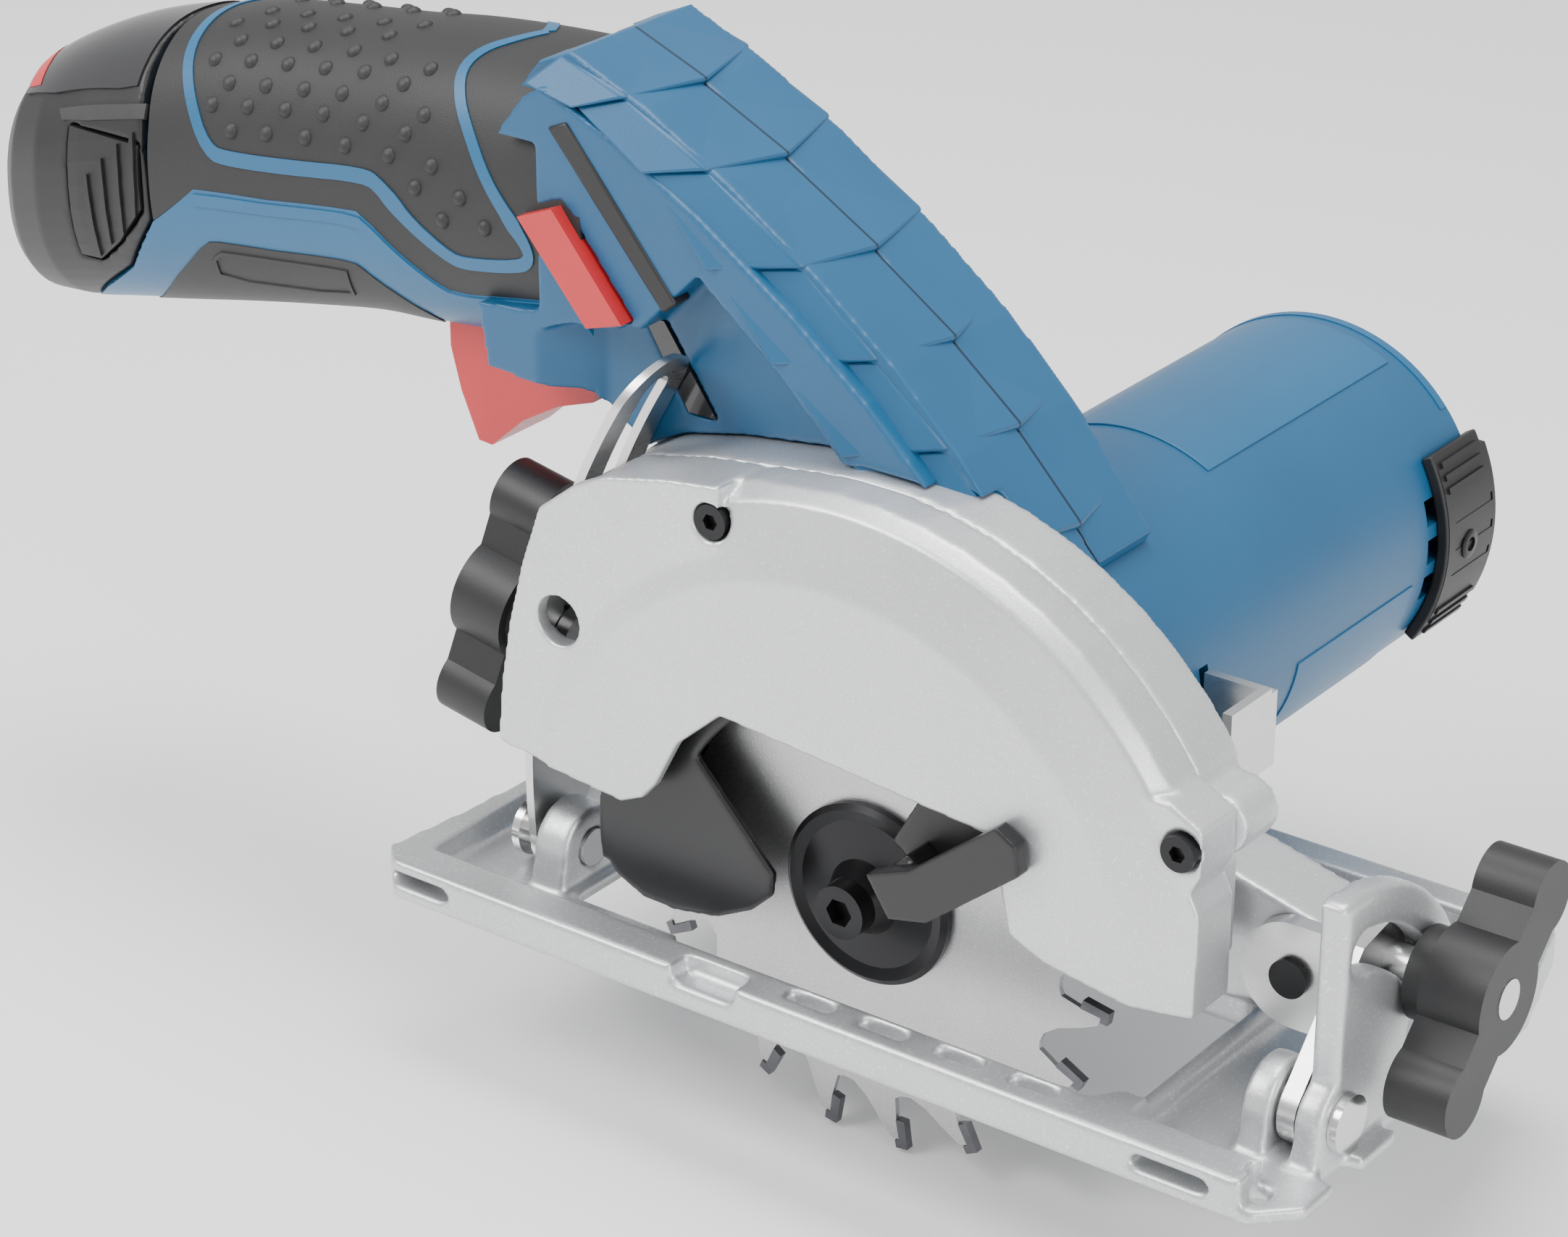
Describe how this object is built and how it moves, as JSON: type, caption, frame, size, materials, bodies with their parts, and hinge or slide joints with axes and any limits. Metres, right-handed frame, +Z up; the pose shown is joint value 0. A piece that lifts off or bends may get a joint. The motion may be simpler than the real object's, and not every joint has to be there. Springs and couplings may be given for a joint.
{
  "type": "cordless mini circular saw",
  "caption": "Compact battery circular saw: small toothed blade in a cast guard on a tilting slotted base, motor beside the blade and a stick battery in the grip.",
  "frame": {"origin": "the point on the plane of the sole that is straight below the spindle, in the middle plane of the blade", "axes": "+X forward in the cutting direction, +Y from the blade to the motor along the spindle, +Z up, square to the sole"},
  "size_m": [0.2814, 0.1418, 0.1577],
  "materials": {
    "cast_alloy": "satin cast",
    "zinc_steel": "bright zinc",
    "pin_steel": "polished",
    "black_steel": "black oxide",
    "black_plastic": "fine texture",
    "guard_plastic": "satin",
    "blade_steel": "bead blasted",
    "carbide": "ground",
    "gear_steel": "machined",
    "blue_plastic": "satin",
    "grip_rubber": "soft textured",
    "red_plastic": "satin",
    "copper": "enamelled",
    "carbon": "matte",
    "cell_wrap": "shrink film",
    "display_plastic": "gloss",
    "magnet": "matte"
  },
  "bodies": {
    "base": {"base_plate": "cast_alloy", "front_bevel_rivet": "pin_steel", "rear_bevel_pin": "pin_steel"},
    "bevel_frame": {"bevel_bracket": "zinc_steel", "bevel_clamp_stud": "zinc_steel", "depth_pivot_pin": "black_steel", "depth_strip": "zinc_steel"},
    "bevel_knob": {"bevel_wing_knob": "black_plastic"},
    "saw_body": {"upper_guard_cover": "cast_alloy", "gear_case": "cast_alloy", "gearbox_cover": "cast_alloy", "guard_screws": "black_steel", "depth_clamp_bolt": "zinc_steel", "gearbox_bearings": "gear_steel", "guard_spring": "zinc_steel", "gear_plate": "gear_steel", "motor_can": "zinc_steel", "motor_magnets": "magnet", "brush_holder": "black_plastic", "carbon_brushes": "carbon", "rotor_bearings": "gear_steel", "motor_housing": "blue_plastic", "end_bumper": "black_plastic", "housing_near": "blue_plastic", "housing_far": "blue_plastic", "grip_skin_near": "grip_rubber", "grip_skin_far": "grip_rubber", "charge_display": "display_plastic", "power_switch": "black_plastic", "trigger_pin": "gear_steel"},
    "depth_knob": {"depth_wing_knob": "black_plastic"},
    "lower_guard": {"lower_guard": "guard_plastic", "guard_lever": "guard_plastic"},
    "spindle": {"saw_blade": "blade_steel", "carbide_teeth": "carbide", "inner_flange": "black_steel", "outer_flange": "black_steel", "blade_screw": "black_steel", "spindle_shaft": "gear_steel", "output_gear": "gear_steel"},
    "spindle_lock": {"spindle_lock_tab": "zinc_steel"},
    "rotor": {"rotor_shaft": "gear_steel", "motor_pinion": "gear_steel", "armature": "copper", "commutator": "copper", "cooling_fan": "black_plastic"},
    "lay_shaft": {"lay_shaft": "gear_steel", "lay_gear": "gear_steel", "lay_pinion": "gear_steel"},
    "output_stage": {"output_wheel": "gear_steel", "output_shaft": "gear_steel", "pinion_gear": "gear_steel"},
    "trigger": {"trigger": "red_plastic"},
    "lock_off_button": {"lock_off_button": "red_plastic"},
    "battery": {"battery_case": "black_plastic", "battery_cells": "cell_wrap"},
    "battery_latch_near": {"battery_latch_near": "black_plastic"},
    "battery_latch_far": {"battery_latch_far": "black_plastic"}
  },
  "joints": [
    {"name": "bevel_tilt", "type": "hinge", "parent": "base", "child": "bevel_frame", "pos_m": [0.07, -0.002, 0.0075], "axis": [1, 0, 0], "range_deg": [0, 45]},
    {"name": "depth_swing", "type": "hinge", "parent": "bevel_frame", "child": "saw_body", "pos_m": [0.0653, 0.012, 0.0195], "axis": [0, 1, 0], "range_deg": [0, 20.5]},
    {"name": "bevel_knob_turn", "type": "hinge", "parent": "bevel_frame", "child": "bevel_knob", "pos_m": [0.088, 0.01823, 0.02219], "axis": [1, 0, 0], "range_deg": [0, 300]},
    {"name": "depth_knob_turn", "type": "hinge", "parent": "saw_body", "child": "depth_knob", "pos_m": [-0.06646, 0.0005, 0.04392], "axis": [-0.9833, 0, 0.1822], "range_deg": [0, 300]},
    {"name": "lower_guard_swing", "type": "hinge", "parent": "saw_body", "child": "lower_guard", "pos_m": [0, 0, 0.016], "axis": [0, -1, 0], "range_deg": [0, 125]},
    {"name": "motor_spin", "type": "hinge", "parent": "saw_body", "child": "rotor", "pos_m": [0.006, 0.075, 0.04294], "axis": [0, 1, 0], "continuous": true},
    {"name": "blade_spin", "type": "hinge", "parent": "saw_body", "child": "spindle", "pos_m": [0, 0.01, 0.016], "axis": [0, -1, 0], "continuous": true},
    {"name": "lay_shaft_spin", "type": "hinge", "parent": "saw_body", "child": "lay_shaft", "pos_m": [-0.00086, 0.034, 0.05482], "axis": [0, 1, 0], "continuous": true},
    {"name": "output_stage_spin", "type": "hinge", "parent": "saw_body", "child": "output_stage", "pos_m": [0.006, 0.02, 0.04294], "axis": [0, 1, 0], "continuous": true},
    {"name": "spindle_lock_push", "type": "slide", "parent": "saw_body", "child": "spindle_lock", "axis": [-1, 0, 0], "range_m": [0, 0.0015], "stiffness_N_per_m": 300, "springref_m": -0.003},
    {"name": "trigger_pull", "type": "hinge", "parent": "saw_body", "child": "trigger", "pos_m": [-0.0665, 0.021, 0.0795], "axis": [0, 1, 0], "range_deg": [0, 8], "stiffness_Nm_per_rad": 0.5, "springref_deg": -5.73},
    {"name": "lock_off_push", "type": "slide", "parent": "saw_body", "child": "lock_off_button", "axis": [0, 1, 0], "range_m": [0, 0.002], "stiffness_N_per_m": 300, "springref_m": -0.003},
    {"name": "battery_slide", "type": "slide", "parent": "saw_body", "child": "battery", "axis": [-0.9863, 0, -0.165], "range_m": [0, 0.06]},
    {"name": "latch_near_push", "type": "slide", "parent": "battery", "child": "battery_latch_near", "axis": [0, 1, 0], "range_m": [0, 0.0015], "stiffness_N_per_m": 300, "springref_m": -0.003},
    {"name": "latch_far_push", "type": "slide", "parent": "battery", "child": "battery_latch_far", "axis": [0, -1, 0], "range_m": [0, 0.0015], "stiffness_N_per_m": 300, "springref_m": -0.003}
  ],
  "couplings": [
    {"joint": "blade_spin", "follows": "motor_spin", "ratio": 0.091176},
    {"joint": "lay_shaft_spin", "follows": "motor_spin", "ratio": -0.27273},
    {"joint": "output_stage_spin", "follows": "motor_spin", "ratio": 0.07438}
  ]
}
